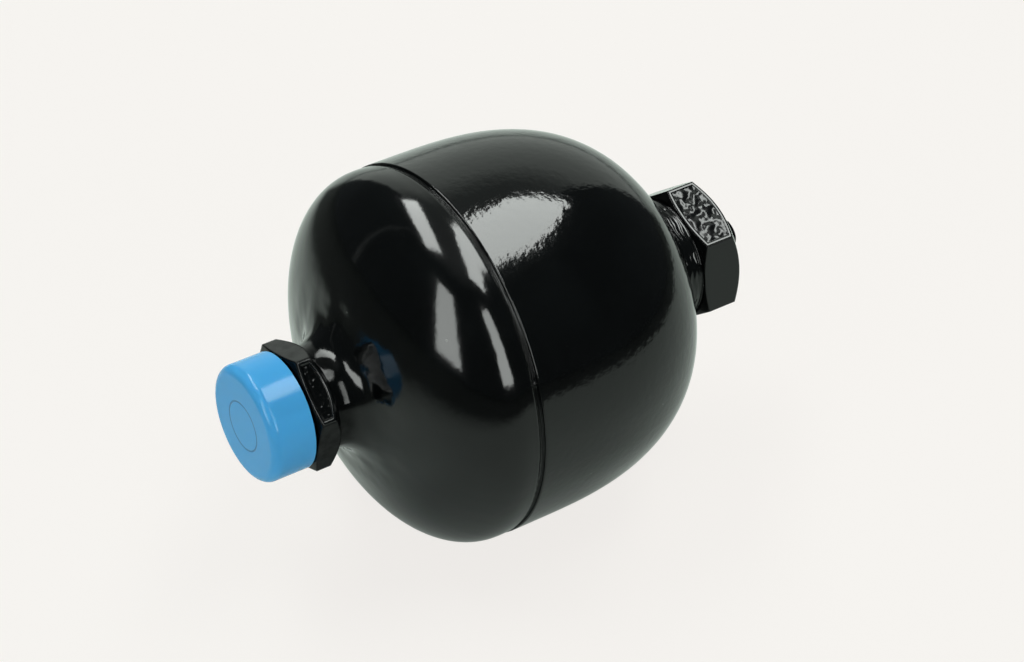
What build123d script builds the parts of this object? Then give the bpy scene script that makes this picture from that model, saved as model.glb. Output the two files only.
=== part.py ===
from build123d import *
import os
from math import acos, cos, pi, radians, sin, sqrt, tan

# Welded diaphragm accumulator, 0.75 litre.
# The vessel's axis is X: the fluid port is at -X and the gas end at +X.
# Below, x is measured from the plane of the girth weld. The solids are then moved along the axis
# to put the origin in the middle of the straight seat for the clamp band, and +Z is up.

# ---- Driving dimensions, mm ----
body_diameter = 121.0        # outside of the gas shell at the girth weld
fluid_rim_step = 0.25        # the fluid shell's rim is this much smaller in radius
wall = 5.5                   # gas shell wall
fluid_rim_wall = 8.0         # the fluid shell is thicker at its rim, behind the bead seat

gas_cylinder = 13.3          # straight length, from the girth plane
gas_dome = 68.6              # dome height past the straight length
gas_dome_power = 2.69        # exponent of the dome's superellipse, 2 is an ellipse
gas_inner_share = 0.9        # the inner dome is drawn this far, and is flat at the boss
fluid_cylinder = 3.8
fluid_dome = 30.4
fluid_dome_power = 2.04
fluid_dome_wall = 5.2        # wall at the pole of the fluid dome

weld_width = 1.8
weld_depth_below_rim = 0.55  # the bead's crown lies in a groove
weld_crowning = 0.2
rim_rounding = 0.45

neck_diameter = 33.0
flare_share = 0.68           # share of the dome's angle where the flare to the neck begins
port_hex_af = 36.0
port_hex_back = -43.5        # x of the hexagon's two ends
port_hex_front = -51.4
port_hex_turn = 44.9         # angle of one corner, from +Y towards +Z
port_chamfer_front = 15.0    # degrees, turned on the hexagon's ends
port_chamfer_back = 40.0
port_thread_diameter = 33.0  # M33 x 1.5, male
port_thread_height = 0.92    # radial, crest to root
port_relief_length = 1.6
port_face = -64.0
port_female_diameter = 20.955  # G 1/2
port_female_root = 18.631
port_female_depth = 14.0
port_bore_diameter = 14.0

boss_hole_diameter = 28.0
boss_collar_diameter = 40.6
boss_hex_margin = 0.2        # radial, from the collar to the hexagon's flats
boss_hex_back = 90.8
boss_hex_front = 104.6
boss_hex_turn = 23.2
boss_chamfer_back = 24.0
boss_chamfer_front = 36.0
boss_spigot_diameter = 24.0
boss_spigot_length = 4.2
boss_thread_diameter = 8.0
boss_gas_bore = 5.0
boss_weld_leg = 3.6
groove_width = 1.4
groove_depth = 0.8

screw_hex_af = 9.5
screw_hex_turn = 38.9
screw_hex_chamfer = 30.0
screw_top = 115.6
screw_head_length = 5.0
screw_flange_diameter = 13.0
screw_flange_length = 1.2
screw_thread_length = 12.0
screw_lead = 1.0             # chamfer at the tip of the thread
seal_thickness = 0.9
seal_recess = 0.3
seal_pocket_clearance = 0.5

bead_height = 4.6            # radial, of the diaphragm's clamped rim
bead_length = 4.3
clamp_ring_height = 4.2
clamp_ring_length = 6.8
ring_bevel = 1.2
diaphragm_thickness = 2.6
diaphragm_clearance = 0.3
seat_clearance = 0.1         # radial, round the bead and the clamp ring
ring_shoulder = 0.8          # step in the gas shell that traps the clamp ring
boss_hole_clearance = 0.1
screw_clearance = 0.1

button_diameter = 26.0
button_back = -26.6          # x of the button's flat back
button_backing = 2.0         # rubber behind the button
backing_diameter = 32.0

cap_wall = 2.08
cap_rim_gap = 1.2            # from the hexagon's front to the cap's mouth
cap_end_wall = 2.7
cap_edge = 3.0               # rounding round the cap's face
cap_clearance = 0.12
cap_lip = 0.5                # chamfer at the mouth

run_past = 1.0               # a cut or a joined piece runs this far past what it meets

# ---- Derived sizes ----
body_radius = body_diameter / 2
fluid_radius = body_radius - fluid_rim_step
seat_radius = body_radius - wall             # inside both rims
half_weld = weld_width / 2
weld_crown_radius = body_radius - weld_depth_below_rim
clamp_seat_middle = (half_weld + rim_rounding + gas_cylinder) / 2
seat_step = -half_weld - bead_length         # ledge that the bead sits on
ring_end = -half_weld + clamp_ring_length    # shoulder that traps the clamp ring
port_thread_root = port_thread_diameter - 2 * port_thread_height
cap_rim = port_hex_front - cap_rim_gap
cap_face = port_face - cap_end_wall
boss_hex_af = boss_collar_diameter + 2 * boss_hex_margin


def superellipse(radius, start, height, power, share=1.0, count=12):
    """Points of a dome from its rim towards its pole, at even steps of angle."""
    points = []
    for i in range(count + 1):
        angle = share * (pi / 2) * i / count
        x = start + height * sin(angle) ** (2 / power)
        points.append((x, radius * cos(angle) ** (2 / power)))
    return points


def mirrored(points):
    return [(-x, y) for x, y in points]


def turned(*lines):
    """Solid turned about the X axis from a closed outline in the XY plane, y as radius."""
    return revolve(make_face([edge for line in lines for edge in line.edges()]), Axis.X)


def turned_polygon(*points):
    return revolve(make_face(Polyline(*points, close=True)), Axis.X)


def rod(x_from, x_to, diameter):
    low, high = min(x_from, x_to), max(x_from, x_to)
    return Plane.YZ.offset(low) * extrude(Circle(diameter / 2), high - low)


def hexagon(across_flats, x_from, x_to, turn, low_chamfer, high_chamfer):
    """Hexagonal prism along X, each end turned down to a circle by a cone."""
    low, high = min(x_from, x_to), max(x_from, x_to)
    prism = Plane.YZ.offset(low) * extrude(
        RegularPolygon(across_flats / sqrt(3), 6, rotation=turn), high - low)
    flat, reach = across_flats / 2, across_flats
    low_run = (reach - flat) * tan(radians(low_chamfer))
    high_run = (reach - flat) * tan(radians(high_chamfer))
    turning = turned_polygon((low, 0), (low, flat), (low + low_run, reach),
                             (high - high_run, reach), (high, flat), (high, 0))
    return prism & turning


def save(solid, node, colour):
    solid = Pos(-clamp_seat_middle, 0, 0) * solid
    solid.label = node
    solid.color = Color(*colour)
    export_step(solid, f"parts/{node}.step")


BLACK = (0.06, 0.065, 0.065)
STEEL = (0.55, 0.56, 0.58)
RUBBER = (0.08, 0.08, 0.09)
BLUE = (0.10, 0.42, 0.80)

os.makedirs("parts", exist_ok=True)

# ---- Gas shell: deep-drawn half, open at the weld, with a hole for the gas boss ----
gas_inner_radius = seat_radius - ring_shoulder
hole_share = 2 / pi * acos((boss_hole_diameter / body_diameter) ** (gas_dome_power / 2))
gas_outside = superellipse(body_radius, gas_cylinder, gas_dome, gas_dome_power, hole_share)
collar_base = gas_outside[-1][0]
gas_inside = superellipse(gas_inner_radius, gas_cylinder, gas_dome - wall, gas_dome_power,
                           gas_inner_share)
gas_inner_end = gas_inside[-1][0]
gas_shell = turned(
    Polyline((gas_cylinder, gas_inner_radius), (ring_end, gas_inner_radius),
             (ring_end, seat_radius), (half_weld, seat_radius),
             (half_weld, body_radius - rim_rounding)),
    RadiusArc((half_weld, body_radius - rim_rounding),
              (half_weld + rim_rounding, body_radius), rim_rounding),
    Line((half_weld + rim_rounding, body_radius), gas_outside[0]),
    Spline(*gas_outside),
    Polyline(gas_outside[-1], (collar_base, 0), (gas_inner_end, 0), gas_inside[-1]),
    Spline(*gas_inside[::-1]),
) - rod(gas_inner_end - wall, collar_base + wall, boss_hole_diameter)
save(gas_shell, "gas_shell", BLACK)


# ---- Fluid shell: one forging with its neck, hexagon and threaded port ----
fluid_pole = -fluid_cylinder - fluid_dome
fluid_inner_radius = fluid_radius - fluid_rim_wall
inner_pole = fluid_pole + fluid_dome_wall
neck_radius = neck_diameter / 2
dome_points = mirrored(superellipse(
    fluid_radius, fluid_cylinder, fluid_dome, fluid_dome_power, flare_share))
dome_edge = Spline(*dome_points)
neck_end = port_hex_back + run_past
rim_corner = (-half_weld - rim_rounding, fluid_radius)
forging = turned(
    Polyline((port_hex_front, neck_radius), (port_hex_front, 0), (-half_weld, 0),
             (-half_weld, fluid_radius - rim_rounding)),
    RadiusArc((-half_weld, fluid_radius - rim_rounding), rim_corner, -rim_rounding),
    Line(rim_corner, dome_points[0]),
    dome_edge,
    Spline(dome_points[-1], (neck_end, neck_radius), tangents=[dome_edge % 1, (-1, 0)]),
    Line((neck_end, neck_radius), (port_hex_front, neck_radius)),
)
cavity_points = mirrored(superellipse(
    fluid_inner_radius, -seat_step, seat_step - inner_pole, fluid_dome_power))
cavity = turned(
    Polyline((inner_pole, 0), (0, 0), (0, seat_radius), (seat_step, seat_radius),
             (seat_step, fluid_inner_radius)),
    Spline(*cavity_points),
)
relief_end = port_hex_front - port_relief_length
stub = rod(port_hex_front, relief_end, port_thread_root) + chamfer(
    rod(relief_end, port_face, port_thread_diameter).edges().filter_by(GeomType.CIRCLE),
    port_thread_height)
port = (rod(port_face, port_face + port_female_depth, port_female_root)
        + rod(port_face, inner_pole + run_past, port_bore_diameter))
mouth = (port_female_diameter - port_female_root) / 2
countersink = turned_polygon((port_face, 0), (port_face, port_female_diameter / 2),
                             (port_face + mouth, port_female_root / 2),
                             (port_face + mouth, 0))
hexagon_head = hexagon(port_hex_af, port_hex_front, port_hex_back, port_hex_turn,
                       port_chamfer_front, port_chamfer_back)
fluid_shell = forging + hexagon_head + stub - cavity - port - countersink
save(fluid_shell, "fluid_shell", BLACK)

# ---- Girth weld between the two rims ----
crown = weld_crown_radius
girth_weld = turned(
    Polyline((half_weld, crown - weld_crowning), (half_weld, seat_radius),
             (-half_weld, seat_radius), (-half_weld, crown - weld_crowning)),
    ThreePointArc((-half_weld, crown - weld_crowning), (0, crown),
                  (half_weld, crown - weld_crowning)),
)
save(girth_weld, "girth_weld", BLACK)

# ---- Diaphragm: moulded rubber, lying against the fluid shell as it does when charged ----
clamped_radius = seat_radius - seat_clearance
membrane_radius = fluid_inner_radius - diaphragm_clearance
membrane_pole = inner_pole + diaphragm_clearance
bead_radius = clamped_radius - bead_height
wet_side = mirrored(superellipse(
    membrane_radius, -seat_step, seat_step - membrane_pole, fluid_dome_power))
gas_side = mirrored(superellipse(
    membrane_radius - diaphragm_thickness, -seat_step,
    seat_step - membrane_pole - diaphragm_thickness, fluid_dome_power))
membrane_body = turned(
    Polyline((membrane_pole, 0), (seat_step, 0), wet_side[0]),
    Spline(*wet_side),
)
membrane_hollow = turned(
    Polyline(gas_side[-1], (seat_step, 0), gas_side[0]),
    Spline(*gas_side),
)
bead = rod(seat_step, -half_weld, 2 * clamped_radius)
bead_hole = turned_polygon(
    (seat_step, 0), (seat_step, membrane_radius - diaphragm_thickness),
    (-half_weld - bead_length / 2, bead_radius), (-half_weld, bead_radius), (-half_weld, 0))
backing = rod(button_back, button_back + button_backing, backing_diameter)
button_space = rod(membrane_pole - diaphragm_thickness, button_back, button_diameter)
button = membrane_body & button_space
diaphragm = membrane_body - membrane_hollow + (bead - bead_hole) + backing - button_space
save(diaphragm, "diaphragm", RUBBER)
save(button, "diaphragm_button", STEEL)

# ---- Clamp ring: holds the diaphragm's bead against the fluid shell's ledge ----
ring_low = clamped_radius - clamp_ring_height
clamp_ring = turned_polygon(
    (-half_weld, ring_low + ring_bevel), (-half_weld, clamped_radius),
    (ring_end, clamped_radius), (ring_end, ring_low), (-half_weld + ring_bevel, ring_low))
save(clamp_ring, "clamp_ring", STEEL)

# ---- Gas boss: collar, hexagon and raised seat for the charging screw ----
seat_end = boss_hex_front + boss_spigot_length
hole_end = seat_end - screw_thread_length
collar = (rod(gas_inner_end, collar_base, boss_hole_diameter - 2 * boss_hole_clearance)
          + rod(collar_base, boss_hex_back + run_past, boss_collar_diameter))
groove = rod(boss_hex_back - groove_width, boss_hex_back, boss_collar_diameter + run_past)
groove -= rod(boss_hex_back - groove_width, boss_hex_back,
              boss_collar_diameter - 2 * groove_depth)
boss_hexagon = hexagon(boss_hex_af, boss_hex_back, boss_hex_front, boss_hex_turn,
                       boss_chamfer_back, boss_chamfer_front)
raised_seat = rod(boss_hex_front, seat_end, boss_spigot_diameter)
passage = rod(gas_inner_end, seat_end, boss_gas_bore)
tapped = rod(hole_end - boss_gas_bore / 2, seat_end, boss_thread_diameter)
seal_pocket = rod(seat_end - seal_recess, seat_end, 
                  screw_flange_diameter + 2 * seal_pocket_clearance)
gas_boss = collar - groove + boss_hexagon + raised_seat - passage - tapped - seal_pocket
save(gas_boss, "gas_boss", BLACK)

# ---- Fillet weld that joins the boss to the dome ----
weld_foot = boss_collar_diameter / 2 + boss_weld_leg
weld_root = boss_hole_diameter / 2 + run_past
bead_crown = boss_weld_leg / 4
fillet_bead = turned(
    Polyline((collar_base + boss_weld_leg, boss_collar_diameter / 2),
             (collar_base + boss_weld_leg, weld_root),
             (collar_base - boss_weld_leg, weld_root),
             (collar_base - boss_weld_leg, weld_foot)),
    ThreePointArc((collar_base - boss_weld_leg, weld_foot),
                  (collar_base + bead_crown, weld_foot - bead_crown),
                  (collar_base + boss_weld_leg, boss_collar_diameter / 2)),
)
boss_weld = fillet_bead - gas_shell - gas_boss
save(boss_weld, "boss_weld", BLACK)

# ---- Charging screw and its seal ----
flange_base = seat_end - seal_recess + seal_thickness
head_base = flange_base + screw_flange_length
screw_head = hexagon(screw_hex_af, head_base, screw_top, screw_hex_turn,
                     0, screw_hex_chamfer)
screw_flange = rod(flange_base, head_base, screw_flange_diameter)
shank = chamfer(rod(hole_end, flange_base, boss_thread_diameter - 2 * screw_clearance)
                .edges().filter_by(GeomType.CIRCLE).sort_by(Axis.X)[0], screw_lead)
charging_screw = screw_head + screw_flange + shank
save(charging_screw, "charging_screw", STEEL)
screw_seal = rod(seat_end - seal_recess, flange_base, screw_flange_diameter)
screw_seal -= rod(seat_end - seal_recess, flange_base, boss_thread_diameter)
save(screw_seal, "screw_seal", RUBBER)

# ---- Protective cap: pushed over the port's male thread ----
cap_bore = port_thread_diameter / 2 + cap_clearance
cap_outside = fillet(
    rod(cap_rim, cap_face, 2 * (cap_bore + cap_wall)).edges().filter_by(GeomType.CIRCLE).sort_by(Axis.X)[0],
    cap_edge)
cap_hollow = turned_polygon(
    (port_face, 0), (port_face, cap_bore), (cap_rim - cap_lip, cap_bore),
    (cap_rim, cap_bore + cap_lip), (cap_rim, 0))
protective_cap = cap_outside - cap_hollow
save(protective_cap, "protective_cap", BLUE)
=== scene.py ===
import bpy
import math
from mathutils import Matrix, Vector


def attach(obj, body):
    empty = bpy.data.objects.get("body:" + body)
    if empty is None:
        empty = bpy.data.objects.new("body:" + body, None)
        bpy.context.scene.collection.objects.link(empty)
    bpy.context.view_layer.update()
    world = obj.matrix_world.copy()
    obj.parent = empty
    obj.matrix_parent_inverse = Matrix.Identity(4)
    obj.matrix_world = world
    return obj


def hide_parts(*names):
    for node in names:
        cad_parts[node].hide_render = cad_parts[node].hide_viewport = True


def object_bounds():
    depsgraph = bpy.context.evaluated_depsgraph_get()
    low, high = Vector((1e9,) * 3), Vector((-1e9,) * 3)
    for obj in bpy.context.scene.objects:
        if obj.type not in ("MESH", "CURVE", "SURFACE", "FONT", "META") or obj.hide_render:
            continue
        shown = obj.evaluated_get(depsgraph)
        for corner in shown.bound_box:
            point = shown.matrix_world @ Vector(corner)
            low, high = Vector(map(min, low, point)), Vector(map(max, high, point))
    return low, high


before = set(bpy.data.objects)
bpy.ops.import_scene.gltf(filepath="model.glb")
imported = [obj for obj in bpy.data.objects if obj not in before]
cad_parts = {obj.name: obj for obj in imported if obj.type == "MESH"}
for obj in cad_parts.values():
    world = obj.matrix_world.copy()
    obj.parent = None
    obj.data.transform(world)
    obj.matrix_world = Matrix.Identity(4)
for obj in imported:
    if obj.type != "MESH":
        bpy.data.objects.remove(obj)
cad_low, cad_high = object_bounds()


# ---- Fluid shell ----
# The smaller half of the vessel: one steel forging with its neck, hexagon and threaded port. The
# threads are cut first, and then it is painted all over with a glossy black enamel.

def feed(tree, value, socket):
    """Links another node's output to a socket, or sets the socket to a plain value."""
    if isinstance(value, bpy.types.NodeSocket):
        tree.links.new(value, socket)
    else:
        socket.default_value = value


def add_node(tree, kind, **values):
    """A shader node with its settings and its inputs; an underscore stands for a space."""
    node = tree.nodes.new("ShaderNode" + kind)
    for name, value in values.items():
        if hasattr(node, name):
            setattr(node, name, value)
        else:
            feed(tree, value, node.inputs[name.replace("_", " ")])
    return node


def math_node(tree, operation, *values, clamp=False):
    """A sum on plain numbers and on other nodes' outputs."""
    node = add_node(tree, "Math", operation=operation, use_clamp=clamp)
    for socket, value in zip(node.inputs, values):
        feed(tree, value, socket)
    return node.outputs[0]


def vector_node(tree, operation, first, second):
    """A number that two vectors give, such as their dot product or distance."""
    node = add_node(tree, "VectorMath", operation=operation)
    feed(tree, first, node.inputs[0])
    feed(tree, second, node.inputs[1])
    return node.outputs["Value"]


def map_range(tree, value, from_low, from_high, to_low, to_high, smooth=False):
    """A value carried over from one range to another, and held at its two ends."""
    node = add_node(tree, "MapRange", interpolation_type="SMOOTHSTEP" if smooth else "LINEAR",
                    Value=value, From_Min=from_low, From_Max=from_high,
                    To_Min=to_low, To_Max=to_high)
    return node.outputs["Result"]


def noise(tree, place, scale, detail, roughness=0.5, distortion=0.0):
    """Soft noise, with its scale in lumps to the metre."""
    return add_node(tree, "TexNoise", Vector=place, Scale=scale, Detail=detail,
                    Roughness=roughness, Distortion=distortion).outputs["Fac"]


def mixed(tree, first, second, amount, blend_type="MIX"):
    """One colour laid over another, by an amount from 0 to 1."""
    return add_node(tree, "Mix", data_type="RGBA", blend_type=blend_type,
                    A=first, B=second, Factor=amount).outputs["Result"]


def axes_of(tree, place):
    """The X, Y and Z of a point."""
    return add_node(tree, "SeparateXYZ", Vector=place).outputs


def off_centre_line(tree, axes):
    """How far a point is from the vessel's centre line, which is the X axis."""
    return math_node(tree, "SQRT", math_node(
        tree, "ADD", math_node(tree, "POWER", axes["Y"], 2.0),
        math_node(tree, "POWER", axes["Z"], 2.0)))


def new_group(name, inputs, outputs):
    """An empty shader node group, with the values that its inputs have until they are set."""
    tree = bpy.data.node_groups.new(name, "ShaderNodeTree")
    for label, default in inputs.items():
        kind = "NodeSocketVector" if isinstance(default, tuple) else "NodeSocketFloat"
        socket = tree.interface.new_socket(name=label, in_out="INPUT", socket_type=kind)
        socket.default_value = default
    for label in outputs:
        tree.interface.new_socket(name=label, in_out="OUTPUT", socket_type="NodeSocketFloat")
    entry = tree.nodes.new("NodeGroupInput").outputs
    leave = tree.nodes.new("NodeGroupOutput").inputs
    return tree, entry, leave, add_node(tree, "TexCoord").outputs["Object"]


# Orange peel: the soft, shallow ripple of sprayed enamel, with a finer ripple on top. Size is
# that of one lump, and the depths are those of the two ripples, in metres.
orange_peel, entry, leave, place = new_group(
    "orange_peel", {"Size": 0.0016, "Depth": 0.00001, "Fine Depth": 0.000002}, ["Height"])
finer_by = 3.1
lumps_to_the_metre = math_node(orange_peel, "DIVIDE", 1.0, entry["Size"])
coarse_peel = noise(orange_peel, place, lumps_to_the_metre, detail=2.0)
fine_peel = noise(orange_peel, place,
                  math_node(orange_peel, "MULTIPLY", lumps_to_the_metre, finer_by), detail=1.0)
feed(orange_peel, math_node(
    orange_peel, "ADD", math_node(orange_peel, "MULTIPLY", coarse_peel, entry["Depth"]),
    math_node(orange_peel, "MULTIPLY", fine_peel, entry["Fine Depth"])), leave["Height"])

# Smears: faint clouds that hands and cloths leave on the paint.
smears, entry, leave, place = new_group("smears", {"Scale": 38.0}, ["Amount"])
feed(smears, noise(smears, place, entry["Scale"], detail=4.0, roughness=0.6, distortion=0.4),
     leave["Amount"])

# Dust: sparse specks, each a fraction of a millimetre across. Share is how many of the places for
# a speck have one, and Speck is the size of a speck as a part of Spacing.
dust, entry, leave, place = new_group(
    "dust", {"Spacing": 0.006, "Share": 0.3, "Speck": 0.05}, ["Mask"])
smallest_speck = 0.25
cells = add_node(dust, "TexVoronoi", feature="F1", Vector=place,
                 Scale=math_node(dust, "DIVIDE", 1.0, entry["Spacing"])).outputs
picks = add_node(dust, "SeparateColor", Color=cells["Color"]).outputs
has_speck = math_node(dust, "LESS_THAN", picks[0], entry["Share"])
speck_size = math_node(dust, "MULTIPLY", entry["Speck"],
                       math_node(dust, "ADD", picks[1], smallest_speck))
in_speck = math_node(dust, "LESS_THAN", cells["Distance"], speck_size)
feed(dust, math_node(dust, "MULTIPLY", has_speck, in_speck), leave["Mask"])

# Thick paint on a hexagon: it stands up in a smooth bead round a flat, and the field inside that
# frame is mottled. Only flats that face the given way have it. Back and Front are where the flats
# end along the centre line, and the slopes are those of the chamfers there.
thick_flats, entry, leave, place = new_group(
    "thick_flats",
    {"Half Width": 0.018, "Back": 0.0, "Front": 0.01, "Back Slope": 0.5, "Front Slope": 0.5,
     "Frame": 0.0012, "Facing": (0.0, 0.0, 1.0)},
    ["Field", "Bead"])
just_inside = -0.0002                # still on the flat, where it is nearest the centre line
field_edge, bead_rise, bead_fall = (0.8, 1.1), (0.0, 0.35), (0.7, 1.1)   # parts of the frame
facing_it = (0.6, 0.9)               # cosines
axes = axes_of(thick_flats, place)
radius = off_centre_line(thick_flats, axes)
rise = math_node(thick_flats, "SUBTRACT", radius, entry["Half Width"])
back_edge = math_node(thick_flats, "ADD", entry["Back"],
                      math_node(thick_flats, "MULTIPLY", rise, entry["Back Slope"]))
front_edge = math_node(thick_flats, "SUBTRACT", entry["Front"],
                       math_node(thick_flats, "MULTIPLY", rise, entry["Front Slope"]))
corner = math_node(thick_flats, "MULTIPLY", entry["Half Width"], 1.0 / math.cos(math.pi / 6))
from_corner = math_node(thick_flats, "MULTIPLY",
                        math_node(thick_flats, "SUBTRACT", corner, radius), 2.0)
from_edge = math_node(thick_flats, "MINIMUM", from_corner, math_node(
    thick_flats, "MINIMUM", math_node(thick_flats, "SUBTRACT", axes["X"], back_edge),
    math_node(thick_flats, "SUBTRACT", front_edge, axes["X"])))
across_frame = math_node(thick_flats, "DIVIDE", from_edge, entry["Frame"])
field = map_range(thick_flats, across_frame, *field_edge, 0.0, 1.0)
bead = math_node(thick_flats, "MINIMUM",
                 map_range(thick_flats, across_frame, *bead_rise, 0.0, 1.0, smooth=True),
                 map_range(thick_flats, across_frame, *bead_fall, 1.0, 0.0, smooth=True))
facing = vector_node(thick_flats, "DOT_PRODUCT",
                     add_node(thick_flats, "NewGeometry").outputs["True Normal"], entry["Facing"])
on_this_flat = math_node(thick_flats, "MULTIPLY",
                         math_node(thick_flats, "GREATER_THAN", rise, just_inside),
                         map_range(thick_flats, facing, *facing_it, 0.0, 1.0))
feed(thick_flats, math_node(thick_flats, "MULTIPLY", field, on_this_flat), leave["Field"])
feed(thick_flats, math_node(thick_flats, "MULTIPLY", bead, on_this_flat), leave["Bead"])


def new_material(name):
    """A material with its shader's inputs, and the place of each point on the piece."""
    material = bpy.data.materials.new(name)
    material.use_nodes = True
    tree = material.node_tree
    shader = tree.nodes["Principled BSDF"].inputs
    return material, tree, shader, add_node(tree, "TexCoord").outputs["Object"]


enamel_ior = 1.4
enamel_black = (0.0013, 0.0016, 0.0017, 1)
smears_lighter_by, smears_rougher_by = 1.7, 1.5
dust_grey, dust_cover = (0.22, 0.24, 0.22, 1), 0.7
bead_coat = 0.9                      # extra gloss on a thick bead, where the rest is rubbed


def enamel(name, peel_size=0.0016, peel_depth=0.000012, fine_depth=0.0000015, edge=0.0004,
           roughness=0.08, extra_height=None, flats=None, rubbed=None):
    """Glossy black enamel: orange peel, rounded paint on edges, faint smears and dust."""
    material, tree, shader, place = new_material(name)
    shader["IOR"].default_value = enamel_ior
    smear = add_node(tree, "Group", node_tree=smears, Scale=38.0).outputs["Amount"]
    smear_black = tuple(part * smears_lighter_by for part in enamel_black[:3]) + (1,)
    tone = mixed(tree, enamel_black, smear_black, map_range(tree, smear, 0.4, 0.7, 0, 1))
    specks = add_node(tree, "Group", node_tree=dust, Spacing=0.0055, Share=0.30, Speck=0.045)
    dusted = math_node(tree, "MULTIPLY", specks.outputs["Mask"], dust_cover)
    feed(tree, mixed(tree, tone, dust_grey, dusted), shader["Base Color"])

    gloss = map_range(tree, smear, 0.35, 0.75, roughness, roughness * smears_rougher_by)
    height = add_node(tree, "Group", node_tree=orange_peel, Size=peel_size, Depth=peel_depth,
                      Fine_Depth=fine_depth).outputs["Height"]
    if extra_height is not None:
        height = math_node(tree, "ADD", height, extra_height(tree, place))
    if flats is not None:
        paint = add_node(tree, "Group", node_tree=thick_flats, **flats["sizes"]).outputs
        mottle = noise(tree, place, 1.0 / flats["mottle_size"], detail=0.4, roughness=0.45)
        lumps = math_node(tree, "MULTIPLY", math_node(tree, "SUBTRACT", mottle, 0.5),
                          paint["Field"])
        height = math_node(tree, "ADD", height, math_node(
            tree, "ADD", math_node(tree, "MULTIPLY", lumps, flats["mottle_depth"]),
            math_node(tree, "MULTIPLY", paint["Bead"], flats["bead_height"])))
        gloss = math_node(tree, "ADD", gloss,
                          math_node(tree, "MULTIPLY", paint["Field"], flats["roughened"]))
    feed(tree, gloss, shader["Roughness"])
    rounded = add_node(tree, "Bevel", samples=6, Radius=edge).outputs["Normal"]
    relief = add_node(tree, "Bump", Strength=1.0, Distance=1.0, Height=height,
                      Normal=rounded).outputs["Normal"]
    feed(tree, relief, shader["Normal"])
    if rubbed is not None:
        feed(tree, rubbed(tree, place), shader["Specular IOR Level"])
        feed(tree, math_node(tree, "MULTIPLY", paint["Bead"], bead_coat), shader["Coat Weight"])
        feed(tree, relief, shader["Coat Normal"])
        shader["Coat Roughness"].default_value = roughness
    return material


hex_front_x, hex_back_x = -0.0588, -0.0509   # where the flats of the port's hexagon end
neck_start_x = -0.0507                       # just behind the hexagon
bore_thread_pitch, bore_thread_depth, bore_thread_radius = 0.00181, 0.0011, 0.0112
neck_runs_depth, neck_runs_scale = 0.0008, 120.0
neck_runs_fade_x = (-0.0405, -0.0345)        # where the runs give way to the smooth dome
rubbed_fade_x = (-0.0475, -0.0435)           # where the rubbed neck turns glossy again
full_gloss, gloss_lost = 0.5, (0.24, 0.36)   # as levels of the shader's specular
blotch_scale = 260.0


def neck_and_bore(tree, place):
    """Thread inside the port's bore, and soft runs of paint on the neck."""
    axes = axes_of(tree, place)
    turn = math_node(tree, "DIVIDE", math_node(tree, "ARCTAN2", axes["Z"], axes["Y"]), math.tau)
    phase = math_node(tree, "ADD", math_node(tree, "DIVIDE", axes["X"], bore_thread_pitch), turn)
    in_bore = math_node(tree, "MULTIPLY", math_node(
        tree, "LESS_THAN", off_centre_line(tree, axes), bore_thread_radius),
        math_node(tree, "LESS_THAN", axes["X"], hex_front_x))
    ridge = math_node(tree, "MULTIPLY", math_node(tree, "PINGPONG", phase, 0.5), in_bore)
    bore_thread = math_node(tree, "MULTIPLY", ridge, 2.0 * bore_thread_depth)
    on_neck = map_range(tree, axes["X"], *neck_runs_fade_x, neck_runs_depth, 0.0, smooth=True)
    runs = math_node(tree, "MULTIPLY",
                     noise(tree, place, neck_runs_scale, detail=0.5, roughness=0.4), on_neck)
    behind_hex = math_node(tree, "GREATER_THAN", axes["X"], neck_start_x)
    return math_node(tree, "ADD", bore_thread, math_node(tree, "MULTIPLY", runs, behind_hex))


def rubbed_head(tree, place):
    """Spanners and hands have taken some gloss off the hexagon and the neck behind it."""
    along = axes_of(tree, place)["X"]
    worn = math_node(tree, "MULTIPLY",
                     map_range(tree, along, *rubbed_fade_x, 1.0, 0.0, smooth=True),
                     math_node(tree, "GREATER_THAN", along, hex_front_x))
    blotches = noise(tree, place, blotch_scale, detail=3.0, roughness=0.6)
    lost = math_node(tree, "MULTIPLY", worn, map_range(tree, blotches, 0.35, 0.65, *gloss_lost))
    return math_node(tree, "SUBTRACT", full_gloss, lost)


def facing_way(degrees):
    """The way a flat faces, turned about the centre line from +Y towards +Z."""
    return (0.0, math.cos(math.radians(degrees)), math.sin(math.radians(degrees)))


port_flats = {
    "mottle_size": 0.0013, "mottle_depth": 0.00022, "bead_height": 0.00060, "roughened": 0.02,
    "sizes": {"Half Width": 0.018, "Back": hex_front_x, "Front": hex_back_x, "Frame": 0.0016,
              "Back Slope": math.tan(math.radians(15)), "Front Slope": math.tan(math.radians(40)),
              "Facing": facing_way(134.9)}}

relief_x = -0.060325                 # where the port's thread runs out, short of the hexagon
thread_root = 0.01558                # radius that the stub is cut down to
near_cut, end_facing = 0.0001, 0.9   # a corner this near the cut, and a normal along the stub
solid_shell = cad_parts["fluid_shell"]
cut_shell = solid_shell.copy()
cut_shell.data = solid_shell.data.copy()
cut_shell.name = "fluid_shell_cut"
cut_shell.parent = None
bpy.context.scene.collection.objects.link(cut_shell)
bpy.ops.object.select_all(action="DESELECT")
cut_shell.select_set(True)
bpy.context.view_layer.objects.active = cut_shell
normals = [Vector(normal.vector) for normal in cut_shell.data.corner_normals]
bpy.ops.object.mode_set(mode="EDIT")
bpy.ops.mesh.select_all(action="SELECT")
bpy.ops.mesh.remove_doubles(threshold=1e-6)
bpy.ops.object.mode_set(mode="OBJECT")
for vertex in cut_shell.data.vertices:
    from_axis = math.hypot(vertex.co.y, vertex.co.z)
    if vertex.co.x < relief_x and from_axis > thread_root:
        vertex.co.y *= thread_root / from_axis
        vertex.co.z *= thread_root / from_axis
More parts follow.
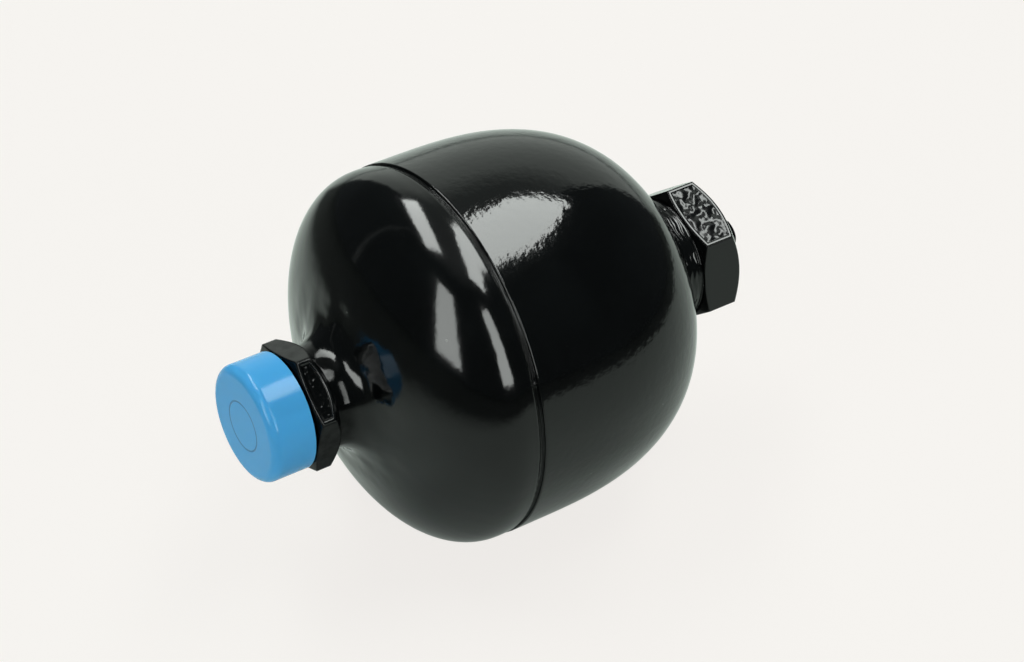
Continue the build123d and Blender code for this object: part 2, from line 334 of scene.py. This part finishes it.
for corner, loop in enumerate(cut_shell.data.loops):
    point = cut_shell.data.vertices[loop.vertex_index].co
    from_axis = math.hypot(point.y, point.z)
    on_stub = point.x < relief_x + near_cut and from_axis > thread_root - near_cut
    if on_stub and abs(normals[corner].x) < end_facing:
        normals[corner] = Vector((0.0, point.y, point.z)).normalized()
cut_shell.data.normals_split_custom_set(normals)
cut_shell.data.materials.clear()
cut_shell.data.materials.append(enamel(
    "fluid_shell_enamel", peel_depth=0.000016, edge=0.0009, extra_height=neck_and_bore,
    flats=port_flats, rubbed=rubbed_head))
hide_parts("fluid_shell")
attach(cut_shell, "vessel")
bpy.ops.object.select_all(action="DESELECT")

# ---- Port thread ----
# The stub's male thread, M33 x 1.5, cut into the forging before it is painted. It fades out at
# the stub's chamfered face and at the relief behind it.
thread_crest = 0.0165                # radius
thread_pitch, thread_turns, thread_steps = 0.0015, 6, 96
thread_flank = (thread_crest - thread_root) * math.tan(math.radians(30.0))
thread_land = 0.00019                # flat along the crest
sunk = 0.0001                        # how far the ridge reaches into the stub
port_face_x = -0.071325              # the open end of the stub
start_x = port_face_x + 0.0002       # where the first turn starts
bpy.ops.mesh.primitive_plane_add(size=0.001)
thread = bpy.context.object
thread.name = "port_thread"
profile = ((start_x, thread_root - sunk), (start_x + thread_flank, thread_crest),
           (start_x + 2 * thread_flank + thread_land, thread_root - sunk),
           (start_x + thread_flank + thread_land, thread_crest))
for vertex, (along, from_axis) in zip(thread.data.vertices, profile):
    vertex.co = (along, 0.0, from_axis)
turns = thread.modifiers.new("turns", "SCREW")
turns.axis = "X"
turns.angle = math.tau
turns.screw_offset = thread_pitch
turns.iterations = thread_turns
turns.steps = turns.render_steps = thread_steps
bpy.ops.object.modifier_apply(modifier="turns")
bpy.ops.object.mode_set(mode="EDIT")
bpy.ops.mesh.select_all(action="SELECT")
bpy.ops.mesh.remove_doubles(threshold=1e-7)
bpy.ops.mesh.fill_holes(sides=4)
bpy.ops.mesh.normals_make_consistent(inside=False)
bpy.ops.object.mode_set(mode="OBJECT")
for vertex in thread.data.vertices:
    along, from_axis = vertex.co.x, math.hypot(vertex.co.y, vertex.co.z)
    allowed = thread_root + max(-sunk, min(along - port_face_x, relief_x - along))
    if from_axis > allowed:
        vertex.co.y *= allowed / from_axis
        vertex.co.z *= allowed / from_axis
bpy.ops.object.shade_smooth_by_angle(angle=math.radians(25.0))
thread.data.materials.append(enamel("port_thread_enamel", peel_size=0.0009, peel_depth=0.000004,
                                    edge=0.0001))
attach(thread, "vessel")
bpy.ops.object.select_all(action="DESELECT")

# ---- Gas shell ----
# The larger half of the vessel, deep-drawn from steel sheet. The same enamel lies more heavily on
# it than on the fluid shell, so its orange peel is coarser and deeper.


def give(node, material):
    """Puts a material on a CAD node, in place of the plain colour it was packed with."""
    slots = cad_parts[node].data.materials
    slots.clear()
    slots.append(material)


give("gas_shell", enamel("gas_shell_enamel", peel_size=0.0023, peel_depth=0.000060,
                         fine_depth=0.000006, roughness=0.065))

# ---- Girth weld ----
# A narrow beam weld that joins the rims of the two steel shells and lies just below their
# surface. It has fine ripples along it, and a lump where the bead runs over its own start.
ripple_spacing, ripple_waver, ripple_height = 0.00050, 1.6, (0.00007, 0.00017)
overlap_place, overlap_shift = (-0.0073, -0.0565, 0.0217), 0.4
lump_height, lump_size = 0.00035, (0.0004, 0.0013)


def weld_ripples(tree, place):
    """Fine ridges that run round with the weld, waver a little and fade in and out."""
    axes = axes_of(tree, place)
    waver = noise(tree, place, scale=45.0, detail=2.0)
    across = math_node(tree, "ADD", math_node(tree, "DIVIDE", axes["X"], ripple_spacing),
                       math_node(tree, "MULTIPLY", waver, ripple_waver))
    past_overlap = math_node(tree, "LESS_THAN", axes["Z"], overlap_place[2])
    across = math_node(tree, "ADD", across,
                       math_node(tree, "MULTIPLY", past_overlap, overlap_shift))
    ripples = math_node(tree, "SINE", math_node(tree, "MULTIPLY", across, math.tau))
    height = map_range(tree, waver, 0.35, 0.65, *ripple_height)
    lump = map_range(tree, vector_node(tree, "DISTANCE", place, overlap_place), *lump_size,
                     lump_height, 0.0, smooth=True)
    return math_node(tree, "ADD", math_node(tree, "MULTIPLY", ripples, height), lump)


give("girth_weld", enamel("girth_weld_enamel", peel_size=0.001, edge=0.0001,
                          extra_height=weld_ripples))

# ---- Gas boss ----
# The large hexagon with its round collar, turned from steel bar and welded to the gas shell. The
# paint lies thick and rough on its uppermost flat, and in rings round the collar.
collar_end_x = (0.0824, 0.0832)      # where the rings stop, at the back of the hexagon
ring_spacing, ring_waver, ring_height = 0.0017, 2.4, (0.00002, 0.00013)
boss_flats = {
    "mottle_size": 0.0030, "mottle_depth": 0.0016, "bead_height": 0.00040, "roughened": 0.11,
    "sizes": {"Half Width": 0.0205, "Back": 0.083475, "Front": 0.097275, "Frame": 0.0013,
              "Back Slope": math.tan(math.radians(24)), "Front Slope": math.tan(math.radians(36)),
              "Facing": facing_way(113.2)}}


def collar_rings(tree, place):
    """Rough rings left round the collar, where the weld spattered and the paint ran."""
    along = axes_of(tree, place)["X"]
    waver = noise(tree, place, scale=110.0, detail=2.0)
    across = math_node(tree, "ADD", math_node(tree, "DIVIDE", along, ring_spacing),
                       math_node(tree, "MULTIPLY", waver, ring_waver))
    rings = math_node(tree, "SINE", math_node(tree, "MULTIPLY", across, math.tau))
    height = map_range(tree, waver, 0.38, 0.66, *ring_height)
    return math_node(tree, "MULTIPLY", math_node(tree, "MULTIPLY", rings, height),
                     map_range(tree, along, *collar_end_x, 1.0, 0.0))


give("gas_boss", enamel("gas_boss_enamel", peel_size=0.0018, edge=0.0007,
                        extra_height=collar_rings, flats=boss_flats))

# ---- Boss weld ----
# The fillet of weld metal that joins the gas boss to the dome. It is painted with them, and the
# enamel follows its uneven surface.
give("boss_weld", enamel("boss_weld_enamel", peel_size=0.0014, peel_depth=0.00003))

# ---- Charging screw ----
# The steel screw that closes the gas end once the vessel is charged. It is screwed into the gas
# boss and painted over with it.
give("charging_screw", enamel("charging_screw_enamel", peel_size=0.0009, peel_depth=0.00001))

# ---- Screw seal ----
# A moulded rubber ring that keeps the gas in. It is squeezed under the flange of the charging
# screw.


# Bloom: the greyish patches that moulded rubber gets.
rubber_bloom, entry, leave, place = new_group("rubber_bloom", {"Scale": 90.0}, ["Amount"])
feed(rubber_bloom, noise(rubber_bloom, place, entry["Scale"], detail=5.0, roughness=0.6),
     leave["Amount"])
rubber_black, rubber_bloomed = (0.012, 0.012, 0.013, 1), (0.030, 0.030, 0.031, 1)


def rubber(name):
    """Black moulded rubber, greyed in patches by bloom."""
    material, tree, shader, _ = new_material(name)
    bloom = add_node(tree, "Group", node_tree=rubber_bloom, Scale=90.0).outputs["Amount"]
    feed(tree, mixed(tree, rubber_black, rubber_bloomed, bloom), shader["Base Color"])
    feed(tree, map_range(tree, bloom, 0.3, 0.7, 0.5, 0.7), shader["Roughness"])
    relief = add_node(tree, "Bump", Strength=0.3, Distance=0.0001, Height=bloom)
    feed(tree, relief.outputs["Normal"], shader["Normal"])
    return material


give("screw_seal", rubber("seal_rubber"))

# ---- Diaphragm ----
# The moulded rubber wall between gas and fluid. The gas presses it against the fluid shell, and
# its thick edge is clamped to that shell's ledge.
give("diaphragm", rubber("diaphragm_rubber"))

# ---- Diaphragm button ----
# A turned steel plate, moulded into the middle of the diaphragm. It closes the port's bore when
# the fluid has gone, so that the gas doesn't push the rubber out through it.


# Lathe marks: fine lines that run round the centre line, close together along it.
lathe_marks, entry, leave, place = new_group(
    "lathe_marks", {"Scale": (4000.0, 60.0, 60.0)}, ["Amount"])
stretched = add_node(lathe_marks, "Mapping", Vector=place, Scale=entry["Scale"])
feed(lathe_marks, noise(lathe_marks, stretched.outputs["Vector"], scale=1.0, detail=3.0),
     leave["Amount"])
steel_dark, steel_bright = (0.42, 0.42, 0.43, 1), (0.55, 0.55, 0.56, 1)


def turned_steel(name):
    """Bare steel from the lathe, with the marks of its tool."""
    material, tree, shader, _ = new_material(name)
    shader["Metallic"].default_value = 1.0
    marks = add_node(tree, "Group", node_tree=lathe_marks,
                     Scale=(4000.0, 60.0, 60.0)).outputs["Amount"]
    feed(tree, mixed(tree, steel_dark, steel_bright, marks), shader["Base Color"])
    feed(tree, map_range(tree, marks, 0.3, 0.7, 0.28, 0.42), shader["Roughness"])
    relief = add_node(tree, "Bump", Strength=0.4, Distance=0.00002, Height=marks)
    feed(tree, relief.outputs["Normal"], shader["Normal"])
    return material


give("diaphragm_button", turned_steel("button_steel"))

# ---- Clamp ring ----
# A turned steel ring that holds the diaphragm's edge against the fluid shell's ledge. It goes in
# before the two shells are welded together.
give("clamp_ring", turned_steel("ring_steel"))

# ---- Protective cap ----
# A soft plastic cap, moulded in blue and pushed by hand over the port's thread for transport. One
# shallow ring is moulded into its face, and painted shade darkens the colour in its groove.
cap_blue, cap_lighter_blue = (0.070, 0.390, 0.790, 1), (0.084, 0.418, 0.830, 1)
# Painted shade: the ring's moulded groove is coloured a darker blue than the rest of the cap.
groove_painted_shade = (0.030, 0.21, 0.46, 1)
groove_radius, groove_width, groove_depth = 0.0080, 0.00042, 0.00010
cap_plastic, tree, shader, place = new_material("cap_blue_plastic")
shader["IOR"].default_value = 1.4
shader["Specular IOR Level"].default_value = 0.22
shader["Subsurface Weight"].default_value = 0.15
shader["Subsurface Radius"].default_value = (0.3, 0.6, 1.0)
shader["Subsurface Scale"].default_value = 0.002
cloud = noise(tree, place, scale=60.0, detail=4.0, roughness=0.6)
off_groove = math_node(tree, "ABSOLUTE", math_node(
    tree, "SUBTRACT", off_centre_line(tree, axes_of(tree, place)), groove_radius))
groove = map_range(tree, off_groove, 0.3 * groove_width, groove_width, -groove_depth, 0.0,
                   smooth=True)
# How deep a point lies in the groove, used only to paint the groove's shade into the colour.
groove_shade_share = math_node(tree, "DIVIDE", groove, -groove_depth)
feed(tree, mixed(tree, mixed(tree, cap_blue, cap_lighter_blue, cloud), groove_painted_shade, groove_shade_share),
     shader["Base Color"])
feed(tree, map_range(tree, cloud, 0.3, 0.7, 0.11, 0.15), shader["Roughness"])
peel = add_node(tree, "Group", node_tree=orange_peel, Size=0.0022, Depth=0.000006,
                Fine_Depth=0.000001).outputs["Height"]
relief = add_node(tree, "Bump", Strength=1.0, Distance=1.0,
                  Height=math_node(tree, "ADD", peel, groove))
feed(tree, relief.outputs["Normal"], shader["Normal"])
give("protective_cap", cap_plastic)

# ---- Floor ----
# A plain pale table that the vessel lies on. Seen directly it is evenly pale, with the vessel's
# shadow. In the gloss of the enamel it shows a painted reflection: a greener tint, and a painted
# pool of light that darkens with distance, except towards the backdrop.
floor_level, floor_radius = cad_low.z, 8.0
# The colours used in gloss are a painted reflection: the table shows greener in the enamel than
# it is seen directly.
table_paint, table_painted_reflection = (0.80, 0.79, 0.76, 1), (0.755, 0.82, 0.765, 1)
table_glow, glow_painted_reflection = (0.966, 0.940, 0.910, 1), (0.90, 1.0, 0.925, 1)
glow_share, glow_share_in_gloss = 0.86, 0.25
lit_centre, lit_reach, unlit_level = (0.20, -0.02, floor_level), (0.35, 0.54), 0.14
backdrop_turn = math.radians(141.0)      # the way the backdrop lies, from -Y towards +X
backdrop_half = math.radians(28.5)       # half of its width
backdrop_fade_on_floor = math.radians(34.0)


def turned_off_backdrop(tree, axes):
    """The way a point lies from the vessel, and the angle between that and the backdrop."""
    turn = math_node(tree, "ARCTAN2", axes["X"], math_node(tree, "MULTIPLY", axes["Y"], -1.0))
    return turn, math_node(tree, "ABSOLUTE", math_node(tree, "SUBTRACT", turn, backdrop_turn))


bpy.ops.mesh.primitive_circle_add(vertices=128, radius=floor_radius, fill_type="NGON",
                                  location=(0, 0, floor_level))
floor = bpy.context.object
floor.name = "floor"
bpy.ops.object.transform_apply(location=True)
table_finish, tree, _, place = new_material("floor_paint")
tree.nodes.remove(tree.nodes["Principled BSDF"])
path = add_node(tree, "LightPath").outputs
seen_directly = path["Is Camera Ray"]
in_gloss = math_node(tree, "ADD", path["Is Glossy Ray"], path["Is Transmission Ray"], clamp=True)
off_backdrop = turned_off_backdrop(tree, axes_of(tree, place))[1]
# Painted pool of light: in gloss the floor darkens away from lit_centre, except towards the
# backdrop.
fade = math_node(
    tree, "MAXIMUM",
    map_range(tree, vector_node(tree, "DISTANCE", place, lit_centre), *lit_reach,
              1.0, unlit_level, smooth=True),
    map_range(tree, off_backdrop, backdrop_half, backdrop_fade_on_floor, 1, 0))
glow = add_node(tree, "Emission",
                Color=mixed(tree, glow_painted_reflection, table_glow, seen_directly),
                Strength=math_node(tree, "MAXIMUM", fade, seen_directly))
matt = add_node(tree, "BsdfDiffuse", Color=mixed(
    tree, mixed(tree, table_paint, table_painted_reflection, in_gloss), fade, in_gloss, "MULTIPLY"))
glowing = math_node(tree, "MAXIMUM", math_node(tree, "MULTIPLY", seen_directly, glow_share),
                    math_node(tree, "MULTIPLY", in_gloss, glow_share_in_gloss))
both = add_node(tree, "MixShader", Fac=glowing)
feed(tree, matt.outputs[0], both.inputs[1])
feed(tree, glow.outputs[0], both.inputs[2])
feed(tree, both.outputs[0], tree.nodes["Material Output"].inputs["Surface"])
floor.data.materials.append(table_finish)

# ---- Room ----
# A dim studio with a pale backdrop behind the vessel, a grey ceiling and the stand of a lamp,
# which show only in the gloss. Seen directly, the room is as pale as the table.
room_grey, backdrop_pale = (0.055, 0.062, 0.064, 1), (0.745, 0.815, 0.755, 1)
ceiling_grey, stand_grey = (0.32, 0.34, 0.33, 1), (0.30, 0.32, 0.31, 1)
room_seen_directly = (0.922, 0.905, 0.871, 1)
backdrop_fade = math.radians(31.0)
backdrop_top, backdrop_top_level = (0.56, 0.74), 0.3   # heights on a ball of radius 1, as are
ceiling_edge, stand_top = (0.88, 0.985), (0.80, 0.84)  # these
stand_turn = math.radians(-137.0)        # the way the lamp's stand is, from -Y towards +X
stand_half = (0.012, 0.022)
world = bpy.data.worlds.new("studio")
bpy.context.scene.world = world
world.use_nodes = True
tree = world.node_tree
axes = axes_of(tree, add_node(tree, "TexCoord").outputs["Generated"])
turn, off_backdrop = turned_off_backdrop(tree, axes)
on_backdrop = math_node(tree, "MULTIPLY",
                        map_range(tree, off_backdrop, backdrop_half, backdrop_fade, 1, 0),
                        map_range(tree, axes["Z"], *backdrop_top, 1, backdrop_top_level))
off_stand = math_node(tree, "ABSOLUTE", math_node(tree, "SUBTRACT", turn, stand_turn))
on_stand = math_node(tree, "MULTIPLY", map_range(tree, off_stand, *stand_half, 1, 0),
                     map_range(tree, axes["Z"], *stand_top, 1, 0))
room = mixed(tree, room_grey, backdrop_pale, on_backdrop)
room = mixed(tree, room, ceiling_grey, map_range(tree, axes["Z"], *ceiling_edge, 0, 1))
room = mixed(tree, room, stand_grey, on_stand)
room = mixed(tree, room, room_seen_directly,
             add_node(tree, "LightPath").outputs["Is Camera Ray"])
feed(tree, room, tree.nodes["Background"].inputs["Color"])

# ---- Lights ----
# Two upright softboxes that stand round the vessel and two long ones that hang side by side over
# it. Lengths are in metres and powers in watts.
softbox_colour = (0.955, 1.0, 0.968)
upright_distance = 1.4
overhead_height, overhead_length = 1.25, 1.16
overhead_turn = Matrix.Rotation(math.atan2(0.80, 0.60), 4, "Z")


def softbox(name, centre, facing, width, height, glare, fill):
    """One softbox: its full glare shows in gloss, and its plain level lights the rest."""
    for part, power in (("glare", glare), ("fill", fill)):
        lamp = bpy.data.lights.new(name + "_" + part, "AREA")
        lamp.shape = "RECTANGLE"
        lamp.size, lamp.size_y = width, height
        lamp.energy = power
        lamp.color = softbox_colour
        box = bpy.data.objects.new(lamp.name, lamp)
        bpy.context.scene.collection.objects.link(box)
        box.matrix_world = Matrix.Translation(centre) @ facing
        box.visible_diffuse = part == "fill"
        box.visible_glossy = part == "glare"


def upright_softbox(name, degrees, centre_height, width, height, glare, fill):
    """A softbox that faces the vessel, and stands the given way from it, from -Y towards +X."""
    angle = math.radians(degrees)
    centre = (upright_distance * math.sin(angle), -upright_distance * math.cos(angle),
              centre_height)
    upwards = Vector((0, 0, 1))
    back = Vector((centre[0], centre[1], 0)).normalized()
    facing = Matrix((upwards.cross(back), upwards, back)).transposed().to_4x4()
    softbox(name, centre, facing, width, height, glare, fill)


upright_softbox("upright_left", -74.0, centre_height=0.82, width=0.48, height=1.38,
                glare=17.6, fill=10.0)
upright_softbox("upright_right", -2.5, centre_height=0.95, width=0.47, height=1.52,
                glare=20.5, fill=10.0)
softbox("overhead_right", (0.554, -0.138, overhead_height), overhead_turn,
        width=overhead_length, height=0.46, glare=22.1, fill=10.7)
softbox("overhead_left", (-0.16, 0.59, overhead_height), overhead_turn,
        width=overhead_length, height=0.40, glare=20.0, fill=10.7)

# ---- Camera ----
# A long lens, a little under a metre away, that looks down on the vessel from the port's side. It
# isn't tilted sideways, so its right has no height.
lens_length, sensor_width = 98.0, 36.0   # in millimetres
nearest, furthest = 0.01, 50.0
camera_centre = (-0.379729, -0.586157, 0.506113)
right = Vector((0.8242327, -0.5662512, 0.0))
forward = Vector((0.4599426, 0.6694903, -0.5832972))
camera = bpy.data.cameras.new("camera")
camera.lens, camera.sensor_width = lens_length, sensor_width
camera.clip_start, camera.clip_end = nearest, furthest
holder = bpy.data.objects.new("camera", camera)
bpy.context.scene.collection.objects.link(holder)
facing = Matrix((right, right.cross(forward), -forward)).transposed().to_4x4()
holder.matrix_world = Matrix.Translation(camera_centre) @ facing
bpy.context.scene.camera = holder
bpy.context.scene.view_settings.view_transform = "Standard"
